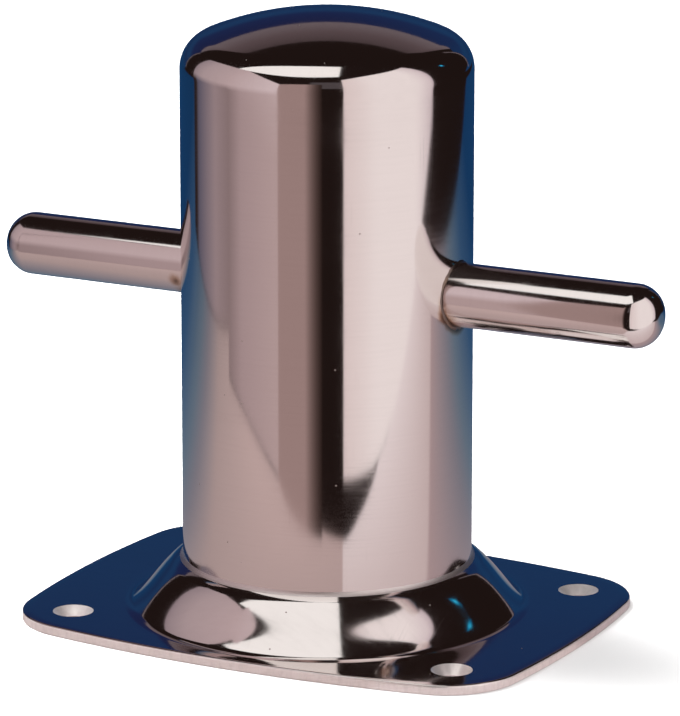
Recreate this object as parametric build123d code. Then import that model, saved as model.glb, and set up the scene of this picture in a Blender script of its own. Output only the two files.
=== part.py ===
"""Deck bollard in polished stainless steel: a tubular post with a domed cap and a through
cross bar, standing in the raised neck of a pressed base plate and welded up.

Frame: origin at the centre of the base plate's underside, +Z up along the post,
+X along the cross bar and the plate's long side. All sizes are in millimetres.
"""

from build123d import *
from math import asin, atan2, cos, degrees, hypot, radians, sin, sqrt, tan
import os

# ---- post -------------------------------------------------------------------
POST_DIAMETER = 73.0        # pipe, outside
POST_WALL = 3.05
POST_FOOT_GAP = 2.0         # the pipe stops this far above the deck
POST_HEIGHT = 154.5         # deck to the top of the dome

# ---- domed cap --------------------------------------------------------------
DOME_RADIUS = 82.0          # outside of the crown
SHOULDER_RADIUS = 9.0       # outside, where the crown turns down into the skirt
CAP_SKIRT = 4.0             # straight part below the shoulder, down to the seam
CAP_WALL = 3.05             # a weld cap of the pipe's own gauge

# ---- cross bar --------------------------------------------------------------
BAR_DIAMETER = 16.0
BAR_LENGTH = 182.0
BAR_HEIGHT = 86.5           # deck to the bar's axis
BAR_END_FLAT = 2.0          # diameter of the flat left in the middle of each rounded end

# ---- raised neck pressed into the plate -------------------------------------
NECK_RISE = 12.6            # plate's top face to the neck's rim
NECK_REACH = 15.0           # post's face to where the neck runs out into the flat
NECK_RIM_ANGLE = 20.0       # slope at the rim, in degrees from flat
NECK_CROWN_RADIUS = 9.0     # outside rounding from the rim down
NECK_FOOT_RADIUS = 3.5      # hollow rounding where it runs out into the plate

# ---- base plate -------------------------------------------------------------
PLATE_THICKNESS = 2.5
FLAT_AT_SIDES = 3.5         # flat left outside the neck, at the middle of the long sides
FLAT_AT_ENDS = 18.5         # the same, at the middle of the short sides
LONG_SIDE_BOW = 310.0       # radius of the two long sides
SHORT_SIDE_BOW = 290.0      # radius of the two short sides
CORNER_RADIUS = 20.0
TOP_EDGE_ROUNDING = 0.7
BOTTOM_EDGE_ROUNDING = 0.4

# ---- deck screws ------------------------------------------------------------
SCREW_INSET_X = 17.0        # screw centre to the middle of the short side
SCREW_INSET_Y = 18.0        # screw centre to the middle of the long side
SCREW_HOLE = 5.5            # M5, medium fit
COUNTERSINK_DIAMETER = 10.0
COUNTERSINK_ANGLE = 90.0

# ---- fits and welds ---------------------------------------------------------
POST_CLEARANCE = 0.15       # radial, between the post and the hole in the neck
BAR_CLEARANCE = 0.15        # radial, between the bar and its holes in the post
SEAM_FACE = 4.0             # cap seam weld, width at the outside
SEAM_ROOT = 1.2             # the same, at the inside
SEAM_ROOT_BEAD = 0.7        # how far the root stands into the pipe
NECK_WELD_LEG = 0.8         # outside fillet weld between post and neck
NECK_WELD_HOLLOW = 0.42     # 0.5 would be a flat face, less is hollow
NECK_WELD_ROOT = 1.2        # how far it reaches down between post and neck
UNDER_WELD_LEG = 3.5        # fillet weld below the neck, out of sight
BAR_WELD_RADIUS = 0.9       # hollow fillet round each side of the bar
BAR_WELD_DEPTH = 1.5        # 45 degree bevel round each bar hole, filled with weld

# ---- worked out from the above ----------------------------------------------
post_radius = POST_DIAMETER / 2
bore_radius = post_radius - POST_WALL
bar_radius = BAR_DIAMETER / 2
dome_centre_z = POST_HEIGHT - DOME_RADIUS
shoulder_z = dome_centre_z + sqrt(
    (DOME_RADIUS - SHOULDER_RADIUS) ** 2 - (post_radius - SHOULDER_RADIUS) ** 2
)
seam_z = shoulder_z - CAP_SKIRT
neck_hole_radius = post_radius + POST_CLEARANCE
neck_foot_radius = post_radius + NECK_REACH
neck_top_z = PLATE_THICKNESS + NECK_RISE
crown_x = neck_hole_radius - NECK_CROWN_RADIUS * sin(radians(NECK_RIM_ANGLE))
crown_z = neck_top_z - NECK_CROWN_RADIUS * cos(radians(NECK_RIM_ANGLE))
foot_z = PLATE_THICKNESS + NECK_FOOT_RADIUS
half_length = neck_foot_radius + FLAT_AT_ENDS
half_width = neck_foot_radius + FLAT_AT_SIDES


def ring(outline):
    """A solid turned about the post's axis from an outline drawn in X (radius) and Z."""
    return revolve(make_face(outline), axis=Axis.Z)


def at(radius, height):
    """A point of such an outline."""
    return Vector(radius, 0, height)


def cylinder(radius, low, high):
    """A plain upright cylinder on the post's axis."""
    return Pos(0, 0, low) * Cylinder(
        radius, high - low, align=(Align.CENTER, Align.CENTER, Align.MIN)
    )


def cross_cylinder(radius, length):
    """A plain cylinder on the cross bar's axis."""
    return Pos(0, 0, BAR_HEIGHT) * Rot(0, 90, 0) * Cylinder(radius, length)


def arc_point(centre, radius, turned):
    """The point of a circle in the outline's plane, turned so many degrees from +X."""
    return centre + at(radius * cos(radians(turned)), radius * sin(radians(turned)))


def wall_slope():
    """Slope of the neck's straight wall, the line that touches both its roundings, from flat."""
    across, drop = neck_foot_radius - crown_x, foot_z - crown_z
    turn = asin((NECK_CROWN_RADIUS + NECK_FOOT_RADIUS) / hypot(across, drop))
    return degrees(turn - atan2(drop, across))


def on_crown(radius, inset=0):
    """The point of the neck's crown at a radius from the post's axis."""
    rise = sqrt((NECK_CROWN_RADIUS - inset) ** 2 - (radius - crown_x) ** 2)
    return at(radius, crown_z + rise)


def neck_line(inset):
    """The neck's line in section, from its rim out to the flat of the plate, as six points.

    inset is 0 for the outside of the neck, and the plate's thickness for its inside.
    """
    crown = NECK_CROWN_RADIUS - inset
    foot = NECK_FOOT_RADIUS + inset
    crown_centre = at(crown_x, crown_z)
    foot_centre = at(neck_foot_radius, foot_z)
    steep = 90 - wall_slope()
    rim = on_crown(neck_hole_radius, inset)
    rim_degrees = degrees(atan2(rim.Z - crown_z, rim.X - crown_x))
    return [
        rim,
        arc_point(crown_centre, crown, (rim_degrees + steep) / 2),
        arc_point(crown_centre, crown, steep),
        arc_point(foot_centre, foot, 180 + steep),
        arc_point(foot_centre, foot, (450 + steep) / 2),
        arc_point(foot_centre, foot, 270),
    ]


def plate_outline():
    """The plate seen from above: four bowed sides, with rounded corners."""
    long_sides = Pos(0, half_width - LONG_SIDE_BOW) * Circle(LONG_SIDE_BOW)
    long_sides &= Pos(0, LONG_SIDE_BOW - half_width) * Circle(LONG_SIDE_BOW)
    short_sides = Pos(half_length - SHORT_SIDE_BOW, 0) * Circle(SHORT_SIDE_BOW)
    short_sides &= Pos(SHORT_SIDE_BOW - half_length, 0) * Circle(SHORT_SIDE_BOW)
    outline = long_sides & short_sides
    return fillet(outline.vertices(), CORNER_RADIUS)


def screw_places():
    """The four screw centres on the plate."""
    for side_x in (-1, 1):
        for side_y in (-1, 1):
            yield side_x * (half_length - SCREW_INSET_X), side_y * (half_width - SCREW_INSET_Y)


def make_base_plate():
    """Pressed plate: bowed outline, raised neck with the post's hole, four countersunk holes."""
    flat = extrude(plate_outline(), PLATE_THICKNESS)
    top_rim = flat.faces().sort_by(Axis.Z)[-1].outer_wire().edges()
    flat = fillet(top_rim, TOP_EDGE_ROUNDING)
    bottom_rim = flat.faces().sort_by(Axis.Z)[0].outer_wire().edges()
    flat = fillet(bottom_rim, BOTTOM_EDGE_ROUNDING)

    outer, inner = neck_line(0), neck_line(PLATE_THICKNESS)
    neck = ring(
        [
            ThreePointArc(outer[0], outer[1], outer[2]),
            Line(outer[2], outer[3]),
            ThreePointArc(outer[3], outer[4], outer[5]),
            Line(outer[5], inner[5]),
            ThreePointArc(inner[5], inner[4], inner[3]),
            Line(inner[3], inner[2]),
            ThreePointArc(inner[2], inner[1], inner[0]),
            Line(inner[0], outer[0]),
        ]
    )
    plate = flat - cylinder(neck_foot_radius, -PLATE_THICKNESS, 2 * PLATE_THICKNESS) + neck

    sink_depth = (COUNTERSINK_DIAMETER - SCREW_HOLE) / 2 / tan(radians(COUNTERSINK_ANGLE / 2))
    hole = Cylinder(SCREW_HOLE / 2, 4 * PLATE_THICKNESS)
    sink = Cone(SCREW_HOLE / 2, COUNTERSINK_DIAMETER / 2, sink_depth)
    cutter = hole + Pos(0, 0, PLATE_THICKNESS - sink_depth / 2) * sink
    for x, y in screw_places():
        plate -= Pos(x, y, 0) * cutter
    return plate - make_neck_weld()


def bar_hole_bevels():
    """The cones that bevel the two bar holes: as wide as the bar inside, widening outwards."""
    cone = Cone(bar_radius, bar_radius + 2 * BAR_WELD_DEPTH, 2 * BAR_WELD_DEPTH)
    right = Pos(post_radius, 0, BAR_HEIGHT) * Rot(0, 90, 0) * cone
    left = Pos(-post_radius, 0, BAR_HEIGHT) * Rot(0, -90, 0) * cone
    return right + left


def make_post_tube():
    """The pipe: bevelled for the cap seam, with two bevelled holes in line for the cross bar."""
    tube = ring(
        Polyline(
            at(bore_radius, POST_FOOT_GAP),
            at(post_radius, POST_FOOT_GAP),
            at(post_radius, seam_z - SEAM_FACE / 2),
            at(bore_radius, seam_z - SEAM_ROOT / 2),
            close=True,
        )
    )
    return tube - cross_cylinder(bar_radius + BAR_CLEARANCE, 2 * POST_DIAMETER) - bar_hole_bevels()


def cap_face(inset):
    """One face of the cap in section, from the top of its skirt to its apex, as five points.

    inset is 0 for the outside of the cap, and its wall for the inside.
    """
    shoulder_centre = at(post_radius - SHOULDER_RADIUS, shoulder_z)
    dome_centre = at(0, dome_centre_z)
    outward = (shoulder_centre - dome_centre).normalized()
    shoulder = SHOULDER_RADIUS - inset
    dome = DOME_RADIUS - inset
    return [
        shoulder_centre + at(shoulder, 0),
        shoulder_centre + (outward + at(1, 0)).normalized() * shoulder,
        shoulder_centre + outward * shoulder,
        dome_centre + (outward + at(0, 1)).normalized() * dome,
        dome_centre + at(0, dome),
    ]


def make_top_cap():
    """Pressed cap: a shallow crown, a tight shoulder and a short bevelled skirt."""
    outer, inner = cap_face(0), cap_face(CAP_WALL)
    low_out = at(post_radius, seam_z + SEAM_FACE / 2)
    low_in = at(post_radius - CAP_WALL, seam_z + SEAM_ROOT / 2)
    return ring(
        [
            Line(low_in, low_out),
            Line(low_out, outer[0]),
            ThreePointArc(outer[0], outer[1], outer[2]),
            ThreePointArc(outer[2], outer[3], outer[4]),
            Line(outer[4], inner[4]),
            ThreePointArc(inner[4], inner[3], inner[2]),
            ThreePointArc(inner[2], inner[1], inner[0]),
            Line(inner[0], low_in),
        ]
    )


def make_cross_bar():
    """Solid round bar right through the post, its ends rounded over."""
    bar = cross_cylinder(bar_radius, BAR_LENGTH)
    ends = bar.edges().filter_by(GeomType.CIRCLE)
    return fillet(ends, bar_radius - BAR_END_FLAT / 2)


def make_cap_weld():
    """Seam weld between pipe and cap, ground flush outside, with its root bead left inside."""
    low_out = at(post_radius, seam_z - SEAM_FACE / 2)
    high_out = at(post_radius, seam_z + SEAM_FACE / 2)
    low_in = at(bore_radius, seam_z - SEAM_ROOT / 2)
    high_in = at(post_radius - CAP_WALL, seam_z + SEAM_ROOT / 2)
    root = at(min(low_in.X, high_in.X) - SEAM_ROOT_BEAD, seam_z)
    return ring(
        [
            Line(low_in, low_out),
            Line(low_out, high_out),
            Line(high_out, high_in),
            ThreePointArc(high_in, root, low_in),
        ]
    )


def make_neck_weld():
    """Weld between the post and the neck's bevelled rim, its fillet dressed slightly hollow."""
    top = at(post_radius, neck_top_z + NECK_WELD_LEG)
    corner = at(post_radius, neck_top_z)
    root = at(post_radius, neck_top_z - NECK_WELD_ROOT)
    toe = on_crown(post_radius + NECK_WELD_LEG)
    face = corner + (top - corner + toe - corner) * NECK_WELD_HOLLOW
    return ring([Line(top, root), Line(root, toe), ThreePointArc(toe, face, top)])


def make_under_weld(plate):
    """Plain fillet weld between the post and the underside of the neck, out of sight."""
    under_z = on_crown(neck_hole_radius, PLATE_THICKNESS).Z
    wedge = ring(
        Polyline(
            at(post_radius, under_z),
            at(post_radius + UNDER_WELD_LEG, under_z),
            at(post_radius, under_z - UNDER_WELD_LEG),
            close=True,
        )
    )
    return wedge - plate


def make_bar_welds():
    """The two welds round the bar, where it leaves the post: right one, then left one.

    Each fills the bevel round its hole flush, and stands proud as a small hollow fillet.
    """
    post = cylinder(post_radius, 0, POST_HEIGHT)
    bar = cross_cylinder(bar_radius, BAR_LENGTH)
    joined = post + bar
    crossings = joined.edges().filter_by(
        lambda edge: edge.geom_type not in (GeomType.CIRCLE, GeomType.LINE)
    )
    fillets = fillet(crossings, BAR_WELD_RADIUS) - post - bar
    welds = fillets + (bar_hole_bevels() & post) - bar
    right, left = welds.solids().sort_by(Axis.X, reverse=True)
    return right, left


def main():
    base_plate = make_base_plate()
    bar_weld_right, bar_weld_left = make_bar_welds()
    nodes = {
        "base_plate": base_plate,
        "post_tube": make_post_tube(),
        "top_cap": make_top_cap(),
        "cross_bar": make_cross_bar(),
        "cap_weld": make_cap_weld(),
        "neck_weld_top": make_neck_weld(),
        "neck_weld_under": make_under_weld(base_plate),
        "bar_weld_right": bar_weld_right,
        "bar_weld_left": bar_weld_left,
    }
    os.makedirs("parts", exist_ok=True)
    for name, solid in nodes.items():
        export_step(solid, f"parts/{name}.step")
        print(f"{name}: {solid.volume:.0f} cubic mm")


main()
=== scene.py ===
# %% [markdown]
# # A polished deck bollard
#
# This lesson builds the looks of a small deck bollard in mirror-polished stainless steel: a pipe
# with a pressed cap, a cross bar right through it, and a pressed base plate whose raised neck the
# pipe stands in. The sizes come from a finished construction model, called the frame, and every
# piece made here takes the place of one piece of that frame, at the same size and in the same
# place. What the lesson adds is what the construction model leaves out: smooth, dense meshes that
# a mirror finish needs, weld beads with a hand-made run, the finish itself, and a studio that
# gives the mirror something to show.

# %% Load the frame
from math import acos, asin, atan2, cos, degrees, hypot, pi, radians, sin, sqrt, tan

import bmesh
import bpy
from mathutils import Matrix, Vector


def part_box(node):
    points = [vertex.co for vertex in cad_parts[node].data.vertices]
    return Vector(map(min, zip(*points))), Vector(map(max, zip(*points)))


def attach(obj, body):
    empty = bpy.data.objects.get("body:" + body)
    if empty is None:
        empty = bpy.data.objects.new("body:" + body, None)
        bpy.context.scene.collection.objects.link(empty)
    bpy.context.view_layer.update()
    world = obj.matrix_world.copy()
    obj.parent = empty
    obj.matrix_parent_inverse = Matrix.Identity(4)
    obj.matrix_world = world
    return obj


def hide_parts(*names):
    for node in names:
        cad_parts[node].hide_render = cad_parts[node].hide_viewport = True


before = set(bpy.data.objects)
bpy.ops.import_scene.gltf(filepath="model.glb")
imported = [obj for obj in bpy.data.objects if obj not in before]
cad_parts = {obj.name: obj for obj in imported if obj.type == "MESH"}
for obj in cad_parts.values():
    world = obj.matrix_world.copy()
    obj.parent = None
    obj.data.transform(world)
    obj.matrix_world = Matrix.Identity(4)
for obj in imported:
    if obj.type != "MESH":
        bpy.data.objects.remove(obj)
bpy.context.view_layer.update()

# %% [markdown]
# ## Sizes
#
# Outside sizes are read from the frame's boxes, so that they can't drift away from it. The few
# roundings that a box can't tell are written down once, in metres, and every outline below is
# worked out from them. The steel is one thickness in the pipe and the cap, and another in the
# plate.

# %% Sizes of the pieces
MM = 0.001

pipe_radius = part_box("post_tube")[1].x
pipe_foot_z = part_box("post_tube")[0].z
post_top_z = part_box("top_cap")[1].z
PIPE_WALL = 3.05 * MM
DOME_RADIUS = 82.0 * MM
SHOULDER_RADIUS = 9.0 * MM
CAP_SKIRT = 4.0 * MM
SEAM_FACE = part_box("cap_weld")[1].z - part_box("cap_weld")[0].z
SEAM_ROOT = 1.2 * MM
SEAM_ROOT_BEAD = 0.7 * MM

bar_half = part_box("cross_bar")[1].x
bar_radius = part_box("cross_bar")[1].y
bar_z = (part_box("cross_bar")[0].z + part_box("cross_bar")[1].z) / 2
BAR_END_ROUNDING = 7.0 * MM
BAR_CLEARANCE = 0.15 * MM
BAR_BEAD = 0.9 * MM

half_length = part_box("base_plate")[1].x
half_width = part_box("base_plate")[1].y
PLATE_THICKNESS = 2.5 * MM
NECK_RISE = 12.6 * MM
NECK_REACH = 15.0 * MM
NECK_RIM_ANGLE = radians(20)
NECK_CROWN_RADIUS = 9.0 * MM
NECK_FOOT_RADIUS = 3.5 * MM
WALL_EASE = 4.5  # degrees by which each rounding stops short of the straight wall's slope
NECK_CLEARANCE = 0.15 * MM
NECK_BEAD = 0.8 * MM
NECK_BEAD_ROOT = 1.2 * MM
UNDER_BEAD = 3.5 * MM
LONG_SIDE_BOW = 310.0 * MM
SHORT_SIDE_BOW = 290.0 * MM
CORNER_RADIUS = 20.0 * MM
TOP_EDGE_ROUNDING = 0.7 * MM
BOTTOM_EDGE_ROUNDING = 0.4 * MM
SCREW_X = half_length - 17.0 * MM
SCREW_Y = half_width - 18.0 * MM
SCREW_HOLE_RADIUS = 2.75 * MM
COUNTERSINK_RADIUS = 5.0 * MM

bore_radius = pipe_radius - PIPE_WALL
dome_z = post_top_z - DOME_RADIUS
shoulder_r = pipe_radius - SHOULDER_RADIUS
shoulder_z = dome_z + sqrt((DOME_RADIUS - SHOULDER_RADIUS) ** 2 - shoulder_r**2)
seam_z = shoulder_z - CAP_SKIRT
neck_hole_r = pipe_radius + NECK_CLEARANCE
neck_foot_r = pipe_radius + NECK_REACH
neck_top_z = PLATE_THICKNESS + NECK_RISE
crown_r = neck_hole_r - NECK_CROWN_RADIUS * sin(NECK_RIM_ANGLE)
crown_z = neck_top_z - NECK_CROWN_RADIUS * cos(NECK_RIM_ANGLE)
foot_z = PLATE_THICKNESS + NECK_FOOT_RADIUS
print("seam at", round(seam_z / MM, 2), "mm, neck crown about", round(crown_r / MM, 2), "mm out")

# %% [markdown]
# ## Camera
#
# A long lens from far away keeps the post's sides nearly parallel, as in a catalogue.
# The camera stands a little to the right of the plate's long side and looks down at about fifteen
# degrees. It aims slightly to the right of the post, so that both ends of the bar fit in.

# %% Camera
CAMERA_AZIMUTH = radians(27.05)
CAMERA_ELEVATION = radians(14.64)
CAMERA_DISTANCE = 1.3347
AIM_HEIGHT = 0.06595
AIM_ACROSS = 0.0032
LENS = 267.9


def studio(across, near, up=0.0):
    """A point from how far it is to the camera's right of the post, nearer, and up."""
    return Vector((
        across * cos(CAMERA_AZIMUTH) + near * sin(CAMERA_AZIMUTH),
        across * sin(CAMERA_AZIMUTH) - near * cos(CAMERA_AZIMUTH),
        up,
    ))


camera_data = bpy.data.cameras.new("camera")
camera_data.lens = LENS
camera = bpy.data.objects.new("camera", camera_data)
bpy.context.scene.collection.objects.link(camera)
aim = studio(AIM_ACROSS, 0, AIM_HEIGHT)
towards = studio(0, cos(CAMERA_ELEVATION), sin(CAMERA_ELEVATION))
camera.location = aim + towards * CAMERA_DISTANCE
camera.rotation_mode = "QUATERNION"
camera.rotation_quaternion = towards.to_track_quat("Z", "Y")
bpy.context.scene.camera = camera
print("camera at", [round(v, 3) for v in camera.location])

# %% [markdown]
# ## Mesh helpers
#
# A mirror shows every facet, so the turned pieces are dense grids made straight from their
# outlines, not subdivided blocks. `grid` joins rows of points into faces, `rod_mesh` closes such a
# grid with flat ends, `turned` spins an outline about the post, and `arc` gives the points of a
# round stretch. Rows and rings run so that every face looks outwards. Edges sharper than
# thirty-five degrees stay crisp and everything else is shaded smooth.

# %% Helpers for meshes
ROUND_STEPS = 360
SHARP_ANGLE = radians(35)


def mesh_object(name, points, faces):
    """A new object from points and faces, smooth shaded with its real edges kept sharp."""
    mesh = bpy.data.meshes.new(name)
    mesh.from_pydata([tuple(p) for p in points], [], faces)
    mesh.validate()
    mesh.shade_smooth()
    mesh.set_sharp_from_angle(angle=SHARP_ANGLE)
    piece = bpy.data.objects.new(name, mesh)
    bpy.context.scene.collection.objects.link(piece)
    return piece


def grid(rows, rows_close=True, columns_close=True):
    """The points of some rows, and four-sided faces between them, closed where asked."""
    height, width = len(rows), len(rows[0])
    points = [p for row in rows for p in row]
    faces = []
    for i in range(height if rows_close else height - 1):
        for j in range(width if columns_close else width - 1):
            here, next_row = i * width, (i + 1) % height * width
            after = (j + 1) % width
            faces.append((here + j, here + after, next_row + after, next_row + j))
    return points, faces


def grid_mesh(name, rows, rows_close=True, columns_close=True):
    """An object from a grid."""
    return mesh_object(name, *grid(rows, rows_close, columns_close))


def rod_mesh(name, rows):
    """A solid rod from its rings, with a flat face on the first and on the last."""
    points, faces = grid(rows, rows_close=False)
    width = len(rows[0])
    ends = [tuple(range(width))[::-1], tuple(range(len(points) - width, len(points)))]
    return mesh_object(name, points, faces + ends)


def spin(outline, steps=ROUND_STEPS):
    """Rows of points from an outline of (radius, height), turned about the post's axis."""
    turns = [2 * pi * k / steps for k in range(steps)]
    return [[(r * cos(t), r * sin(t), z) for t in turns] for r, z in outline]


def turned(name, outline, steps=ROUND_STEPS):
    """A closed ring with the outline as its section, listed anticlockwise."""
    return grid_mesh(name, spin(outline, steps))


def arc(centre, radius, start, end, steps):
    """Points of a circle from one angle to another, in degrees, both ends included."""
    turns = [radians(start + (end - start) * k / steps) for k in range(steps + 1)]
    return [(centre[0] + radius * cos(t), centre[1] + radius * sin(t)) for t in turns]


def line(start, end, steps):
    """Points from start to end, without the end itself."""
    return [
        tuple(a + (b - a) * k / steps for a, b in zip(start, end)) for k in range(steps)
    ]


def stands_for(piece, node):
    """The piece takes the place of one node of the frame, and rides where it rides."""
    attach(piece, "root")
    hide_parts(node)
    print(piece.name, "stands for", node, "with", len(piece.data.polygons), "faces")


print("one turn about the post has", ROUND_STEPS, "steps")

# %% [markdown]
# ## The pressed cap
#
# The cap is a shallow crown that turns down over a tight shoulder into a short skirt. Both
# roundings are true arcs that meet at a common slope, and the mirror shows it if they don't. The
# inside follows at one wall's distance. The skirt's lower edge is bevelled for the seam weld.

# %% The cap
APEX_HOLE = 0.02 * MM  # the outline stops this far from the axis, and a small disc closes it
CROWN_STEPS, SHOULDER_STEPS = 48, 44
shoulder_slope = degrees(atan2(shoulder_z - dome_z, shoulder_r))


def closed_at_axis(piece, rings):
    """Closes the pinholes that a turned outline leaves at the post's axis."""
    mesh = piece.data
    shape = bmesh.new()
    shape.from_mesh(mesh)
    for z in rings:
        near = [e for e in shape.edges if e.is_boundary and abs(e.verts[0].co.z - z) < 0.1 * MM]
        bmesh.ops.contextual_create(shape, geom=near)
    bmesh.ops.recalc_face_normals(shape, faces=shape.faces)
    shape.to_mesh(mesh)
    shape.free()
    mesh.shade_smooth()
    mesh.set_sharp_from_angle(angle=SHARP_ANGLE)


def cap_line(inset):
    """One face of the cap, from the axis out and down to the skirt."""
    crown = arc((0, dome_z), DOME_RADIUS - inset, 90, shoulder_slope, CROWN_STEPS)
    crown[0] = (APEX_HOLE, crown[0][1])
    shoulder_centre = (shoulder_r, shoulder_z)
    shoulder = arc(shoulder_centre, SHOULDER_RADIUS - inset, shoulder_slope, 0, SHOULDER_STEPS)
    return crown + shoulder[1:]


outside = cap_line(0) + [(pipe_radius, seam_z + SEAM_FACE / 2)]
inside = cap_line(PIPE_WALL) + [(bore_radius, seam_z + SEAM_ROOT / 2)]
cap = grid_mesh("domed_cap", spin(outside + inside[::-1]), rows_close=False)
closed_at_axis(cap, (post_top_z, post_top_z - PIPE_WALL))
stands_for(cap, "top_cap")

# %% [markdown]
# ## The seam and the pipe
#
# Pipe and cap are bevelled, welded and ground flush, so the seam hardly shows outside. Inside,
# the weld's root stands a little into the pipe. The bar's two holes are cut with a boolean.
# Cutting a smooth cylinder leaves long thin faces, which a mirror would show, so the pipe's round
# walls get their exact normals written in, which lead straight away from the axis or towards it.

# %% The seam weld
root_r = bore_radius - SEAM_ROOT_BEAD
root_side_r = (bore_radius + root_r) / 2 - 0.1 * MM  # the root's sides are a little fuller than straight
seam = turned("cap_seam", [
    (pipe_radius, seam_z - SEAM_FACE / 2),
    (pipe_radius, seam_z + SEAM_FACE / 2),
    (bore_radius, seam_z + SEAM_ROOT / 2),
    (root_side_r, seam_z + SEAM_ROOT / 3),
    (root_r, seam_z),
    (root_side_r, seam_z - SEAM_ROOT / 3),
    (bore_radius, seam_z - SEAM_ROOT / 2),
])
stands_for(seam, "cap_weld")

# %% [markdown]
# The pipe's wall could be a plain cylinder with a Solidify modifier. An outline is used instead,
# because its upper end has the weld's bevel. The boolean is applied at once, so that the finished
# mesh is what rides.

# %% The pipe
PIPE_ROWS = 40
CUTTER_REACH = 1.4  # the hole cutter is this much longer than the pipe is wide
WALL_FACING = 0.98  # a face this close to straight out or straight in belongs to a round wall

outer_top = (pipe_radius, seam_z - SEAM_FACE / 2)
inner_top = (bore_radius, seam_z - SEAM_ROOT / 2)
inner_foot = (bore_radius, pipe_foot_z)
outer_wall = line((pipe_radius, pipe_foot_z), outer_top, PIPE_ROWS) + [outer_top]
inner_wall = line(inner_top, inner_foot, PIPE_ROWS) + [inner_foot]
pipe = turned("pipe", outer_wall + inner_wall)


def along_bar(radius, half, steps=96):
    """A closed cylinder on the bar's axis."""
    turns = [2 * pi * k / steps for k in range(steps)]
    rows = [
        [(x, -radius * sin(t), bar_z + radius * cos(t)) for t in turns] for x in (-half, half)
    ]
    return rod_mesh("bar_hole_cutter", rows)


def cut(piece, cutter):
    """Takes the cutter out of the piece for good, and throws the cutter away."""
    modifier = piece.modifiers.new("cut", "BOOLEAN")
    modifier.operation = "DIFFERENCE"
    modifier.solver = "EXACT"
    modifier.object = cutter
    shaped = bpy.data.meshes.new_from_object(
        piece.evaluated_get(bpy.context.evaluated_depsgraph_get())
    )
    piece.modifiers.clear()
    piece.data = shaped
    bpy.data.objects.remove(cutter)


def exact_normals(piece, rule):
    """Writes normals into the mesh where rule(point, face normal) gives one."""
    mesh = piece.data
    normals = []
    for face in mesh.polygons:
        for corner in face.loop_indices:
            point = mesh.vertices[mesh.loops[corner].vertex_index].co
            normals.append(rule(point, face.normal) or mesh.corner_normals[corner].vector)
    mesh.normals_split_custom_set([tuple(n) for n in normals])


def pipe_normal(point, facing):
    """Straight out, or straight in, on the pipe's two round walls."""
    out = Vector((point.x, point.y, 0)).normalized()
    if abs(facing.z) > 0.1 or abs(facing.dot(out)) < WALL_FACING:
        return None
    return out if facing.dot(out) > 0 else -out


cut(pipe, along_bar(bar_radius + BAR_CLEARANCE, pipe_radius * CUTTER_REACH))
exact_normals(pipe, pipe_normal)
stands_for(pipe, "post_tube")

# %% [markdown]
# ## The cross bar
#
# Solid round bar. Each end is rounded with a generous radius that leaves a small flat in the
# middle, as a lathe form tool does. The bar is rings along its own axis, closer together where it
# rounds, and not a bevelled cylinder, whose bevel would leave fewer faces than the mirror needs.

# %% The bar
END_STEPS = 24
BAR_STEPS = 192
BODY_RINGS = (60 * MM, 45 * MM, 30 * MM, 0.0)  # distances of the straight part's rings from the post's axis


def bar_outline():
    """Radius and distance along the bar, from one end to the other."""
    flat = bar_radius - BAR_END_ROUNDING
    round_end = [
        (flat + BAR_END_ROUNDING * sin(t), bar_half - BAR_END_ROUNDING * (1 - cos(t)))
        for t in [pi / 2 * k / END_STEPS for k in range(END_STEPS + 1)]
    ]
    body = [(bar_radius, x) for x in BODY_RINGS]
    right = [(flat / 2, bar_half)] + round_end + body
    left = [(r, -x) for r, x in right[-2::-1]]
    return right + left


def bar_rows():
    """Rings of the bar, from its right end to its left."""
    turns = [2 * pi * k / BAR_STEPS for k in range(BAR_STEPS)]
    return [
        [(x, r * sin(t), bar_z + r * cos(t)) for t in turns] for r, x in bar_outline()
    ]


bar = rod_mesh("mooring_bar", bar_rows())
stands_for(bar, "cross_bar")

# %% [markdown]
# ## The base plate
#
# The plate is one pressing: four gently bowed sides with round corners, a flat, a small hollow
# rounding, a sloping wall and a round crown that rolls in towards the pipe. It is made as one
# polar grid. Each ring of the grid is worked out for every direction from the post: near the post
# the rings are circles, and on the way out they blend into the plate's outline.

# %% The neck's section
SHOWN_STEPS = (28, 24, 20)  # steps of the crown, the wall and the foot
HIDDEN_STEPS = (10, 4, 8)


def wall_slope():
    """Slope of the neck's straight wall, which touches both roundings."""
    across, drop = neck_foot_r - crown_r, foot_z - crown_z
    return asin((NECK_CROWN_RADIUS + NECK_FOOT_RADIUS) / hypot(across, drop)) - atan2(drop, across)


def eased_wall(start, end, downhill, steps):
    """A wall that leaves and arrives a little gentler than it runs: its steepest place is halfway."""
    third = hypot(end[0] - start[0], end[1] - start[1]) / 3
    lean_out = (start[0] + downhill[0] * third, start[1] + downhill[1] * third)
    lean_in = (end[0] - downhill[0] * third, end[1] - downhill[1] * third)
    points = []
    for k in range(1, steps):
        s = k / steps
        weights = ((1 - s) ** 3, 3 * s * (1 - s) ** 2, 3 * s * s * (1 - s), s**3)
        points.append(tuple(
            sum(w * p[axis] for w, p in zip(weights, (start, lean_out, lean_in, end)))
            for axis in (0, 1)
        ))
    return points


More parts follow.
